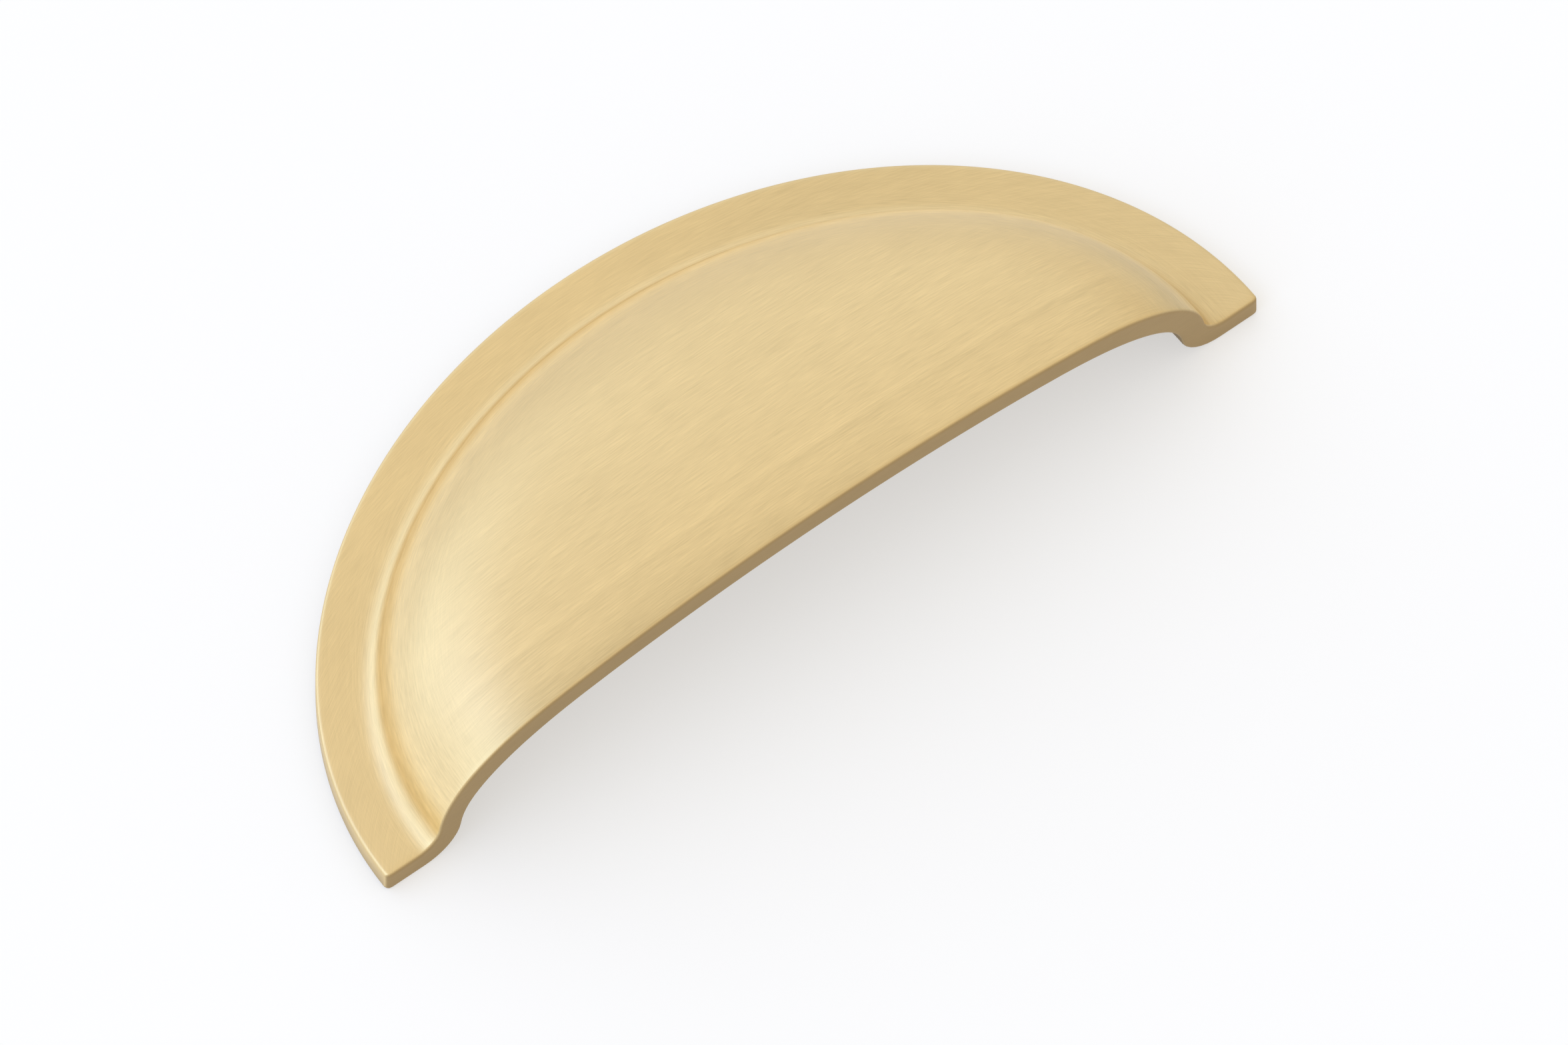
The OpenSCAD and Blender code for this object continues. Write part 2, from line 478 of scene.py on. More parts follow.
    def crown_patch(self, skin: Skin) -> np.ndarray:
        """The places of the crown, blended from the lip and from the end of the shoulder.

        Args:
            skin: The skin that the crown is in.

        Returns:
            Points in millimetres: rows from the lip to the arch, each from the right to the left.
        """
        quarter = self.columns // 4
        ring = self.row(skin, self.station_count() - 1)[:, :2]
        lip = self.lip_row(skin, self.edge_radius, 2 * quarter + 1)[:, :2]
        u = np.linspace(0, 1, 2 * quarter + 1)[None, :, None]
        v = np.linspace(0, 1, quarter + 1)[:, None, None]
        top = ring[quarter : 3 * quarter + 1][None]
        right, left = ring[: quarter + 1][:, None], ring[::-1][: quarter + 1][:, None]
        low_corners = (1 - u) * lip[0] + u * lip[-1]
        high_corners = (1 - u) * top[:, 0] + u * top[:, -1]
        corners = (1 - v) * low_corners + v * high_corners
        p = (1 - v) * lip[None] + v * top + (1 - u) * right + u * left - corners
        return np.concatenate([p, (self.crown(p) - self.wall_of(skin).drop)[..., None]], -1)

    def metres(self, p: np.ndarray) -> Vector:
        """A point counted from the lip, in the shared frame and in metres."""
        return Vector((p[0], p[1] - self.hole_from_lip, p[2])) * MM

    def add_patch(self, mesh: bpy.types.Mesh | None, rows: np.ndarray) -> None:
        """Adds a grid and lays it on rows of places.

        Args:
            mesh: The mesh being edited, or None to start a new object with this grid.
            rows: Points in millimetres, by row and by place in the row.
        """
        high, wide = rows.shape[0] - 1, rows.shape[1] - 1
        if mesh is None:
            bpy.ops.object.select_all(action="DESELECT")
        else:
            bpy.ops.mesh.select_all(action="DESELECT")
        bpy.ops.mesh.primitive_grid_add(x_subdivisions=wide, y_subdivisions=high, size=1)
        if mesh is None:
            bpy.ops.object.mode_set(mode="EDIT")

        def on_rows(v: bmesh.types.BMVert) -> Vector:
            """The place of a vertex, from its row and column in the plain grid."""
            return self.metres(rows[round((v.co.y + 0.5) * high), round((v.co.x + 0.5) * wide)])

        place_selected(bpy.context.object.data, on_rows)

    def build(self) -> bpy.types.Object:
        """Models the closed skin.

        Returns:
            The new piece, in the shared frame.
        """
        skins = {s: [self.row(s, k) for k in range(self.station_count())] for s in Skin}
        self.add_patch(None, np.array(skins[Skin.BACK][::-1] + skins[Skin.FRONT]))
        piece = bpy.context.object
        piece.name = piece.data.name = "cup_body"
        for skin in Skin:
            self.add_patch(piece.data, self.crown_patch(skin))
        weld(SEAM_GAP)
        self.round_open_side(piece.data)
        weld(POINT_GAP)
        bpy.ops.mesh.normals_make_consistent(inside=False)
        bpy.ops.object.mode_set(mode="OBJECT")
        return piece

    def round_open_side(self, mesh: bpy.types.Mesh) -> None:
        """Draws the open boundary round its edge in small steps and closes the cut face.

        Args:
            mesh: The mesh being edited, open along the lip and the rim's two ends.
        """
        loops = [
            [self.metres(p) for skin in Skin for p in self.open_edge(skin, level)]
            for level in self.eases()[::-1]
        ]
        self.number_boundary(mesh, loops[0])
        for loop in loops[1:]:
            bpy.ops.mesh.extrude_edges_move()
            number_of = bmesh.from_edit_mesh(mesh).verts.layers.int[EDGE_PLACE]
            place_selected(mesh, lambda v: loop[v[number_of]])
        self.close_cut_face(mesh, len(loops[0]) // 2)

    def number_boundary(self, mesh: bpy.types.Mesh, loop: list[Vector]) -> None:
        """Selects the open boundary and numbers each of its vertices by its place in the loop.

        Args:
            mesh: The mesh being edited.
            loop: The boundary's places in metres, first along one skin and then along the other.
        """
        tree = KDTree(len(loop))
        for number, p in enumerate(loop):
            tree.insert(p, number)
        tree.balance()
        bpy.ops.mesh.select_all(action="DESELECT")
        bpy.ops.mesh.select_mode(type="EDGE")
        bpy.ops.mesh.select_non_manifold(
            extend=False,
            use_wire=False,
            use_multi_face=False,
            use_non_contiguous=False,
            use_verts=False,
        )
        bm = bmesh.from_edit_mesh(mesh)
        number_of = bm.verts.layers.int.new(EDGE_PLACE)
        for v in bm.verts:
            if v.select:
                v[number_of] = tree.find(v.co)[1]
        bmesh.update_edit_mesh(mesh)

    def close_cut_face(self, mesh: bpy.types.Mesh, half: int) -> None:
        """Bridges the two skins' edges with the cut face, and drops the edge numbers.

        Args:
            mesh: The mesh being edited, with the open boundary selected.
            half: Number of places along each skin's edge.
        """
        bm = bmesh.from_edit_mesh(mesh)
        number_of = bm.verts.layers.int[EDGE_PLACE]
        for e in bm.edges:
            if e.select and (e.verts[0][number_of] < half) != (e.verts[1][number_of] < half):
                e.select_set(False)
        bmesh.update_edit_mesh(mesh)
        bpy.ops.mesh.bridge_edge_loops()
        bpy.ops.mesh.select_mode(type="FACE")
        bpy.ops.mesh.inset(thickness=self.support * MM, use_even_offset=True)
        bm = bmesh.from_edit_mesh(mesh)
        bm.verts.layers.int.remove(bm.verts.layers.int[EDGE_PLACE])
        bmesh.update_edit_mesh(mesh)

    def sort_faces(self, mesh: bpy.types.Mesh) -> None:
        """Numbers each face by its surface, from the way that it faces and its place.

        Args:
            mesh: The closed skin, before the posts are joined to it.
        """
        lip = (self.edge_radius - self.hole_from_lip) * MM
        for face in mesh.polygons:
            if face.normal.y < self.open_side_tilt and face.center.y < lip:
                face.material_index = Surface.GROUND.value
            elif face.normal.z < self.back_tilt:
                face.material_index = Surface.CAST.value


@dataclass
class ScrewPost:
    """A post inside the cup, with a blind M4 hole that opens to the back, in millimetres."""

    side: int
    body: CupBody
    spacing: float = 76.0
    diameter: float = 7.5
    hole_diameter: float = 3.3
    hole_depth: float = 8.5
    chamfer: float = 0.5
    point_angle: float = 118.0
    thread_diameter: float = 4.0
    pitch: float = 0.7
    plain_end: float = 1.4
    flank_slope: float = 1.5
    flank_rest: float = 0.2
    corners: int = 64
    turns_rows: int = 8
    overrun: float = 0.5

    @property
    def place(self) -> np.ndarray:
        """The post's middle in plan, counted from the open side."""
        return np.array([self.side * self.spacing / 2, self.body.hole_from_lip])

    def under_skin(self, p: np.ndarray) -> float:
        """Height halfway into the metal under the front.

        Args:
            p: A plan point.

        Returns:
            The height over the back.
        """
        body = self.body
        t = body.outline.nearest(p[None])
        d = np.linalg.norm(p[None] - body.outline.edge(t), axis=1)
        height = body.shoulder_height(body.outer, t, d, p[None])[0]
        return float(height) - body.inner.drop / 2

    def build(self) -> bpy.types.Object:
        """Models the post, its top leaning with the skin over it.

        Returns:
            The post as a closed solid.
        """
        reach = self.diameter / 2
        steps = np.array([[reach, 0.0], [0.0, reach]])
        high = [self.under_skin(self.place + s) for s in steps]
        low = [self.under_skin(self.place - s) for s in steps]
        slope = (np.array(high) - np.array(low)) / self.diameter
        bpy.ops.object.select_all(action="DESELECT")
        tall = self.body.lip_height
        bpy.ops.mesh.primitive_cylinder_add(
            vertices=self.corners,
            radius=reach * MM,
            depth=tall * MM,
            location=self.body.metres([*self.place, tall / 2]),
        )
        bpy.ops.object.transform_apply(location=True, rotation=True, scale=True)
        post = bpy.context.object
        with editing(post):
            bpy.ops.mesh.select_all(action="SELECT")
            bpy.ops.mesh.bisect(
                plane_co=self.body.metres([*self.place, (sum(high) + sum(low)) / 4]),
                plane_no=(-slope[0], -slope[1], 1),
                use_fill=True,
                clear_outer=True,
            )
            bpy.ops.mesh.select_all(action="SELECT")
            bpy.ops.mesh.normals_make_consistent(inside=False)
        return self.as_cast(post)

    def as_cast(self, solid: bpy.types.Object) -> bpy.types.Object:
        """Numbers all faces of a solid as cast.

        Args:
            solid: The post or the hole's cutter.

        Returns:
            The same solid.
        """
        for face in solid.data.polygons:
            face.material_index = Surface.CAST.value
        return solid

    def hole_radius(self, turn: float, z: float) -> float:
        """Radius of the threaded hole.

        Args:
            turn: Angle round the hole, in radians.
            z: Height over the back.

        Returns:
            The radius in millimetres.
        """
        bore = self.hole_diameter / 2
        along = (z / self.pitch - turn / (2 * math.pi)) % 1
        flank = self.flank_slope * (1 - abs(2 * along - 1)) - self.flank_rest
        groove = min(max(flank, 0), 1)
        fade = min(max((self.hole_depth - self.plain_end - z) / self.pitch, 0), 1)
        threaded = bore + (self.thread_diameter / 2 - bore) * groove * fade
        return max(threaded, bore + 2 * self.chamfer - max(z + self.chamfer, 0))

    def on_hole(self, v: bmesh.types.BMVert, middle: Vector, z: float) -> Vector:
        """Place of a corner on the hole's wall.

        Args:
            v: The corner, still on the ring below.
            middle: Middle of the ring below, in metres.
            z: Height of the new ring over the back.

        Returns:
            The place in metres.
        """
        turn = math.atan2(v.co.y - middle.y, v.co.x - middle.x)
        r = self.hole_radius(turn, z)
        x, y = self.place
        return self.body.metres([x + r * math.cos(turn), y + r * math.sin(turn), z])

    def hole(self) -> bpy.types.Object:
        """Models the solid that cuts the hole, its thread and its drill point.

        Returns:
            The cutter as a closed solid.
        """
        bpy.ops.object.select_all(action="DESELECT")
        bpy.ops.mesh.primitive_circle_add(
            vertices=self.corners // 2, radius=1, fill_type="NGON"
        )
        cutter = bpy.context.object
        rows = math.ceil((self.hole_depth + self.overrun) / self.pitch * self.turns_rows)
        with editing(cutter) as mesh:
            bpy.ops.mesh.select_all(action="SELECT")
            middle = Vector((0, 0, 0))
            for k in range(rows + 1):
                z = -self.overrun + (self.hole_depth + self.overrun) * k / rows
                if k:
                    bpy.ops.mesh.extrude_region()
                place_selected(mesh, lambda v: self.on_hole(v, middle, z))
                middle = self.body.metres([*self.place, 0])
            bpy.ops.mesh.extrude_region()
            point = self.hole_diameter / 2 / math.tan(math.radians(self.point_angle / 2))
            tip = self.body.metres([*self.place, self.hole_depth + point])
            place_selected(mesh, lambda v: tip)
            weld(POINT_GAP)
            bpy.ops.mesh.normals_make_consistent(inside=False)
        return self.as_cast(cutter)


@dataclass
class GrainMap:
    """Lays the brush lines over the casting, as attributes that its finish reads.

    Distances are in millimetres. The lines on the rim run flatter than its outline up to rim_end,
    and not at all from cove_start. Lines follow the arch up to ring_end and run straight from
    lines_start. foot_place and foot_width say where the foot of the wall gets painted light, a
    lighter and paler colour.
    """

    body: CupBody
    rim_end: float = 3.2
    cove_start: float = 4.4
    ring_end: float = 8.0
    lines_start: float = 16.0
    flatness: float = 0.5
    bow_margin: float = 1.5
    foot_place: float = 7.35
    foot_width: float = 1.2

    def lay(self, mesh: bpy.types.Mesh) -> None:
        """Writes the attributes of every vertex.

        Args:
            mesh: The finished mesh, its faces still numbered by their surface.
        """
        outline = self.body.outline
        p = self.read(mesh, "co") / MM + [0, self.body.hole_from_lip, 0]
        normals = self.read(mesh, "normal")
        t = outline.nearest(p[:, :2])
        d = np.linalg.norm(p[:, :2] - outline.edge(t), axis=1)
        cast, ground = self.share_of(mesh, Surface.CAST), self.share_of(mesh, Surface.GROUND)
        brushed = 1 - ground
        ring = self.fade(d, self.lines_start, self.ring_end) * brushed
        rim = self.fade(d, self.cove_start, self.rim_end) * np.clip(normals[:, 2], 0, 1) * brushed
        # Mask of the painted light at the wall's foot, where the colour is painted lighter and
        # paler.
        foot = np.exp(-(((d - self.foot_place) / self.foot_width) ** 2)) * brushed * (1 - cast)
        level = np.where(ground > 0, -p[:, 2], p[:, 1])
        self.write(mesh, "straight_lines", p[:, 0], level, ground)
        self.write(mesh, "arch_lines", outline.arc_length(t), d - self.edge_drop(p, d), ring)
        self.write(mesh, "rim_lines", p[:, 0], p[:, 1] - self.bow(p[:, 0]), rim)
        self.write(mesh, "across_lines", *self.across(t, ring, normals).T)
        # surface holds the cast share, the ground share and the mask of painted light at the wall's
        # foot.
        self.write(mesh, "surface", cast, ground, foot)

    def read(self, mesh: bpy.types.Mesh, name: str) -> np.ndarray:
        """Reads one vector of every vertex.

        Args:
            mesh: The mesh to read.
            name: co for the place, or normal.

        Returns:
            The vectors, one row each.
        """
        values = np.empty(len(mesh.vertices) * 3)
        mesh.vertices.foreach_get(name, values)
        return values.reshape(-1, 3)

    def write(self, mesh: bpy.types.Mesh, name: str, *columns: np.ndarray) -> None:
        """Adds one vector attribute to the vertices.

        Args:
            mesh: The mesh that gets it.
            name: The attribute's name.
            *columns: Its three numbers, each for all vertices.
        """
        layer = mesh.attributes.new(name, "FLOAT_VECTOR", "POINT")
        values = np.column_stack(columns)
        layer.data.foreach_set("vector", np.ascontiguousarray(values, dtype=np.float32).ravel())

    def fade(self, d: np.ndarray, none: float, full: float) -> np.ndarray:
        """A soft share between two distances from the outline: 0 at none and 1 at full."""
        share = np.clip((none - d) / (none - full), 0, 1)
        return share**2 * (3 - 2 * share)

    def share_of(self, mesh: bpy.types.Mesh, surface: Surface) -> np.ndarray:
        """How much of the casting round each vertex belongs to one surface.

        Args:
            mesh: The mesh, its faces numbered by their surface.
            surface: The surface to count.

        Returns:
            The share of the faces round each vertex.
        """
        total, part = np.zeros(len(mesh.vertices)), np.zeros(len(mesh.vertices))
        for face in mesh.polygons:
            corners = list(face.vertices)
            total[corners] += 1
            part[corners] += face.material_index == surface.value
        return part / np.maximum(total, 1)

    def edge_drop(self, p: np.ndarray, d: np.ndarray) -> np.ndarray:
        """How far each vertex on the rim's outer edge lies under the rim."""
        body = self.body
        return np.where(d < body.edge_radius, np.maximum(body.outer.base - p[:, 2], 0), 0)

    def bow(self, x: np.ndarray) -> np.ndarray:
        """The flattened arch that the rim's lines follow.

        Args:
            x: Places along the width.

        Returns:
            The arch's height at each place.
        """
        outline = self.body.outline
        wide = outline.half_width + self.bow_margin
        return self.flatness * outline.height * np.sqrt(1 - (x / wide) ** 2)

    def across(self, t: np.ndarray, ring: np.ndarray, normals: np.ndarray) -> np.ndarray:
        """Directions square to the lines and to the skin.

        Args:
            t: Angles of the vertices along the outline.
            ring: Shares of the lines that follow the arch.
            normals: Normals of the skin.

        Returns:
            Vectors, one row each.
        """
        outline = self.body.outline
        tangent = np.column_stack([outline.half_width * np.sin(t), -outline.height * np.cos(t)])
        tangent /= np.linalg.norm(tangent, axis=1, keepdims=True)
        share = ring[:, None]
        along = np.column_stack([share * tangent + (1 - share) * [1, 0], np.zeros(len(t))])
        return np.cross(normals, along)


class Wiring:
    """Adds and joins the nodes of one node tree."""

    def __init__(self, tree: bpy.types.NodeTree) -> None:
        """Keeps the tree that the nodes go into."""
        self.tree = tree

    def add(self, kind: str, inputs: dict | None = None, **settings: object) -> bpy.types.Node:
        """Adds a node.

        Args:
            kind: The node's type.
            inputs: Values or sockets for its inputs, by name or number.
            **settings: Values for its properties.

        Returns:
            The new node.
        """
        node = self.tree.nodes.new(kind)
        for name, value in settings.items():
            setattr(node, name, value)
        for name, value in (inputs or {}).items():
            self.join(value, node.inputs[name])
        return node

    def join(self, value: object, socket: bpy.types.NodeSocket) -> None:
        """Links a socket to an input, or writes a plain value in it.

        Args:
            value: The other node's output, or the value.
            socket: The input.
        """
        if isinstance(value, bpy.types.NodeSocket):
            self.tree.links.new(value, socket)
        else:
            socket.default_value = value

    def calc(self, operation: str, *terms: object, clamp: bool = False) -> bpy.types.NodeSocket:
        """Adds a Math node and gives its result, held between 0 and 1 if clamp is set."""
        inputs = dict(enumerate(terms))
        return self.add("ShaderNodeMath", inputs, operation=operation, use_clamp=clamp).outputs[0]

    def product(self, first: object, *terms: object) -> bpy.types.NodeSocket:
        """Multiplies numbers, one after the other.

        Args:
            first: The first number or socket.
            *terms: What it is multiplied by.

        Returns:
            The product.
        """
        for term in terms:
            first = self.calc("MULTIPLY", first, term)
        return first

    def vector(self, operation: str, inputs: dict) -> bpy.types.NodeSocket:
        """Adds a Vector Math node and gives its vector."""
        return self.add("ShaderNodeVectorMath", inputs, operation=operation).outputs["Vector"]

    def blend(self, share: object, low: object, high: object) -> bpy.types.NodeSocket:
        """Adds a Mix node for plain numbers and gives its result."""
        return self.add("ShaderNodeMix", {0: share, 2: low, 3: high}).outputs[0]

    def tint(self, share: object, low: object, high: object) -> bpy.types.NodeSocket:
        """Adds a Mix node for colours.

        Args:
            share: How much of the second colour there is.
            low: The first colour, as numbers or a socket.
            high: The second one.

        Returns:
            The mixed colour.
        """
        mix = self.add("ShaderNodeMix", {0: share}, data_type="RGBA")
        for value, socket in ((low, mix.inputs[6]), (high, mix.inputs[7])):
            self.join((*value, 1.0) if isinstance(value, tuple) else value, socket)
        return mix.outputs[2]

    def attribute(self, name: str) -> bpy.types.NodeSocket:
        """Reads a vector attribute."""
        return self.add("ShaderNodeAttribute", attribute_name=name).outputs["Vector"]

    def parts(self, vector: object) -> list[bpy.types.NodeSocket]:
        """Splits a vector in its three numbers."""
        return list(self.add("ShaderNodeSeparateXYZ", {0: vector}).outputs)


@dataclass(frozen=True)
class Grain:
    """One layer of brush marks: how long and wide they are, in millimetres, and how strong.

    detail is the number of finer layers in it, and fineness is how strong each of those is.
    """

    length: float
    width: float
    detail: float
    depth: float
    fineness: float = 0.6

    def streaks(self, w: Wiring, lines: object) -> bpy.types.NodeSocket:
        """Adds noise that is drawn out along lines.

        Args:
            w: The node helper.
            lines: Vector with the place along and across the lines, in millimetres.

        Returns:
            A value around 0.5.
        """
        drawn = w.vector("MULTIPLY", {0: lines, 1: (1 / self.length, 1 / self.width, 0)})
        inputs = {"Vector": drawn, "Scale": 1.0, "Detail": self.detail, "Roughness": self.fineness}
        return w.add("ShaderNodeTexNoise", inputs, noise_dimensions="2D").outputs[0]


@dataclass(frozen=True)
class Band:
    """A soft band where the metal is drawn lighter or darker: its middle, its width and how strong
    it is.
    """

    middle: float
    width: float
    depth: float

    def off(self, w: Wiring, place: object) -> bpy.types.NodeSocket:
        """Distance of a place from the band's middle, in widths."""
        return w.calc("DIVIDE", w.calc("SUBTRACT", place, self.middle), self.width)

    def share(self, w: Wiring, off: object) -> bpy.types.NodeSocket:
        """A bell curve that is 1 where off is 0."""
        return w.calc("EXPONENT", w.product(off, off, -1.0))


@dataclass(frozen=True)
class LinesAndPaintedShade:
    """A faint pair of light and dark lines along the lip, and painted light and shade: a darker left
    lip, a darker right foot, and a rim lighter on the left and darker on the right.

    Sizes are in millimetres. line and lip count from the open side, and foot and rim_width from
    the outline. The lip is painted darker towards the left over lip_reach, and lip_middle is the
    share that is reached at its middle. The foot's painted shade ends at foot_reach along the
    outline, counted as its table of lengths does. The rim is painted rim_lift brighter on the left,
    and from rim_reach it is painted darker by rim_depth over rim_fade towards the right.
    """

    line: Band = Band(6.25, 0.7, 0.09)
    # Painted shade near the lip, darker towards the left.
    lip: Band = Band(0.0, 2.4, 0.12)
    lip_middle: float = 0.5
    lip_reach: float = 40.0
    # Painted shade at the foot of the right end.
    foot: Band = Band(8.5, 2.3, 0.28)
    foot_reach: float = 50.0
    rim_width: float = 5.4
    # The rim is painted lighter on the left and darker towards the right.
    rim_lift: float = 0.02
    rim_depth: float = 0.075
    rim_reach: float = 92.0
    rim_fade: float = 26.0

    def crown(self, w: Wiring) -> bpy.types.NodeSocket:
        """Along the lip: the pair of lines and the painted shade that darkens the left end.

        Args:
            w: The node helper.

        Returns:
            A value around 0.
        """
        along, level, _ = w.parts(w.attribute("straight_lines"))
        off = self.line.off(w, level)
        pair = w.product(off, self.line.share(w, off), self.line.depth)
        rightward = w.calc("DIVIDE", along, self.lip_reach)
        left = w.calc("SUBTRACT", self.lip_middle, rightward, clamp=True)
        lip = w.product(self.lip.share(w, self.lip.off(w, level)), left)
        return w.calc("MULTIPLY_ADD", lip, -self.lip.depth, pair)

    def outer(self, w: Wiring, arc: object, inset: object) -> bpy.types.NodeSocket:
        """Round the arch: painted shade at the right foot, and the rim painted lighter on the left
        and darker on the right.

        Args:
            w: The node helper.
            arc: Place along the outline.
            inset: Distance from the outline.

        Returns:
            A value around 0.
        """
        right = w.calc("SUBTRACT", 1.0, w.calc("DIVIDE", arc, self.foot_reach), clamp=True)
        foot = w.product(self.foot.share(w, self.foot.off(w, inset)), right, -self.foot.depth)
        beyond = w.calc("SUBTRACT", self.rim_reach, arc)
        fallen = w.calc("DIVIDE", beyond, self.rim_fade, clamp=True)
        tone = w.calc("MULTIPLY_ADD", fallen, -self.rim_depth, self.rim_lift)
        rim = w.calc("SUBTRACT", self.rim_width, inset, clamp=True)
        return w.calc("MULTIPLY_ADD", rim, tone, foot)

    def shade(self, w: Wiring) -> bpy.types.NodeSocket:
        """The pair of lines and all of the painted light and shade.

        Args:
            w: The node helper.

        Returns:
            A value around 0.
        """
        arc, inset, ring = w.parts(w.attribute("arch_lines"))
        inner = w.calc("SUBTRACT", 1.0, ring)
        return w.calc("MULTIPLY_ADD", self.crown(w), inner, self.outer(w, arc, inset))


@dataclass(frozen=True)
class BrushedBrass:
    """Satin brass: brushed round the rim and along the lip, duller where it is cast or ground, with
    painted light at the wall's foot and painted shade on the cut face, in the hollow, at the left
    lip, the right foot and the rim's right.

    rim_share is how far the rim's own flatter marks hide the others, cloud_scale counts per
    metre, dull_calm is how much weaker the marks are on cast and ground metal, and the bump's
    height is in millimetres.
    """

    name: str = "brushed_brass"
    colour: tuple[float, float, float] = (0.738, 0.574, 0.304)
    # Painted light: the foot of the wall is painted lighter and paler than the brass.
    painted_light_foot_colour: tuple[float, float, float] = (0.88, 0.705, 0.39)
    # Partly a duller ground finish, partly painted shade: the cut face is painted darker.
    ground_colour_and_shade: tuple[float, float, float] = (0.415, 0.30, 0.152)
    # Mostly painted shade: the hollow and the back are painted dark, on a rougher cast finish.
    cast_colour_and_shade: tuple[float, float, float] = (0.31, 0.225, 0.117)
    roughness: float = 0.36
    dull_roughness: float = 0.5
    roughness_change: float = 0.10
    anisotropy: float = 0.6
    marks: tuple[Grain, ...] = (Grain(3.0, 0.13, 3.0, 0.33), Grain(12.0, 1.1, 2.0, 0.085))
    rim_share: float = 0.7
    cloud_scale: float = 160.0
    cloud_detail: float = 2.0
    cloud_depth: float = 0.07
    dull_calm: float = 0.6
    # The pair of lines along the lip, and the painted light and shade.
    lines_and_painted_shade: LinesAndPaintedShade = LinesAndPaintedShade()
    bump_height: float = 0.004

    def layer(self, w: Wiring, grain: Grain) -> bpy.types.NodeSocket:
        """One layer of marks: along the lip on the crown, round the arch, and flatter on the rim.

        Args:
            w: The node helper.
            grain: The size of the marks.

        Returns:
            A value around 0.
        """
        straight, arch, flat = (
            grain.streaks(w, w.attribute(lines))
            for lines in ("straight_lines", "arch_lines", "rim_lines")
        )
        ring = w.parts(w.attribute("arch_lines"))[2]
        rim = w.parts(w.attribute("rim_lines"))[2]
        marks = w.blend(w.product(rim, self.rim_share), w.blend(ring, straight, arch), flat)
        return w.calc("SUBTRACT", marks, 0.5)

    def shade(
        self, w: Wiring, layers: list[bpy.types.NodeSocket], dulled: object
    ) -> bpy.types.NodeSocket:
        """How bright the metal is: soft clouds, painted light and shade, the pair of lines and brush
        marks.

        Args:
            w: The node helper.
            layers: The layers of marks.
            dulled: Share of the metal that is cast or ground.

        Returns:
            A value around 1.
        """
        place = w.add("ShaderNodeTexCoord").outputs["Object"]
        inputs = {"Vector": place, "Scale": self.cloud_scale, "Detail": self.cloud_detail}
        cloud = w.calc("SUBTRACT", w.add("ShaderNodeTexNoise", inputs).outputs[0], 0.5)
        shade = w.calc("MULTIPLY_ADD", cloud, self.cloud_depth, 1.0)
        polished = w.calc("SUBTRACT", 1.0, dulled)
        # Adds the painted light and shade, kept off cast and ground metal.
        shade = w.calc("MULTIPLY_ADD", self.lines_and_painted_shade.shade(w), polished, shade)
        keen = w.calc("MULTIPLY_ADD", dulled, -self.dull_calm, 1.0)
        for grain, marks in zip(self.marks, layers):
            shade = w.calc("MULTIPLY_ADD", w.product(marks, keen), grain.depth, shade)
        return shade

    def material(self) -> bpy.types.Material:
        """Builds the finish.

        Returns:
            The material of the casting.
        """
        made = bpy.data.materials.new(self.name)
        made.use_nodes = True
        shader = made.node_tree.nodes["Principled BSDF"]
        w = Wiring(made.node_tree)
        cast, ground, foot = w.parts(w.attribute("surface"))
        dulled = w.calc("MAXIMUM", cast, ground)
        layers = [self.layer(w, grain) for grain in self.marks]
        # The wall's foot is painted lighter (painted light), and the ground cut face darker, partly
        # painted shade.
        front = w.tint(ground, w.tint(foot, self.colour, self.painted_light_foot_colour), self.ground_colour_and_shade)
        # Cast faces in the hollow and on the back take the dark colour, mostly painted shade.
        metal = w.tint(cast, front, self.cast_colour_and_shade)
        tint = w.vector("SCALE", {0: metal, 3: self.shade(w, layers, dulled)})
        rough = w.calc("MULTIPLY_ADD", layers[0], self.roughness_change, self.roughness)
        bump = w.add("ShaderNodeBump", {"Height": layers[0], "Distance": self.bump_height * MM})
        w.join(tint, shader.inputs["Base Color"])
        w.join(w.blend(dulled, rough, self.dull_roughness), shader.inputs["Roughness"])
        w.join(bump.outputs[0], shader.inputs["Normal"])
        w.join(w.attribute("across_lines"), shader.inputs["Tangent"])
        w.join(1.0, shader.inputs["Metallic"])
        w.join(self.anisotropy, shader.inputs["Anisotropic"])
        return made


@dataclass(frozen=True)
class Glow:
    """A soft patch of light round one direction of the surroundings."""

    azimuth: float
    elevation: float
    strength: float
    tightness: float
    tint: tuple[float, float, float] = (0.64, 1.0, 1.65)

    def colour(self) -> tuple[float, float, float]:
        """The patch's light at its middle."""
        return tuple(self.strength * part for part in self.tint)

    def direction(self) -> tuple[float, float, float]:
        """The direction towards the patch, with azimuth 0 at the front and 90 at the right."""
        a, e = math.radians(self.azimuth), math.radians(self.elevation)
        return (math.sin(a) * math.cos(e), -math.cos(a) * math.cos(e), math.sin(e))


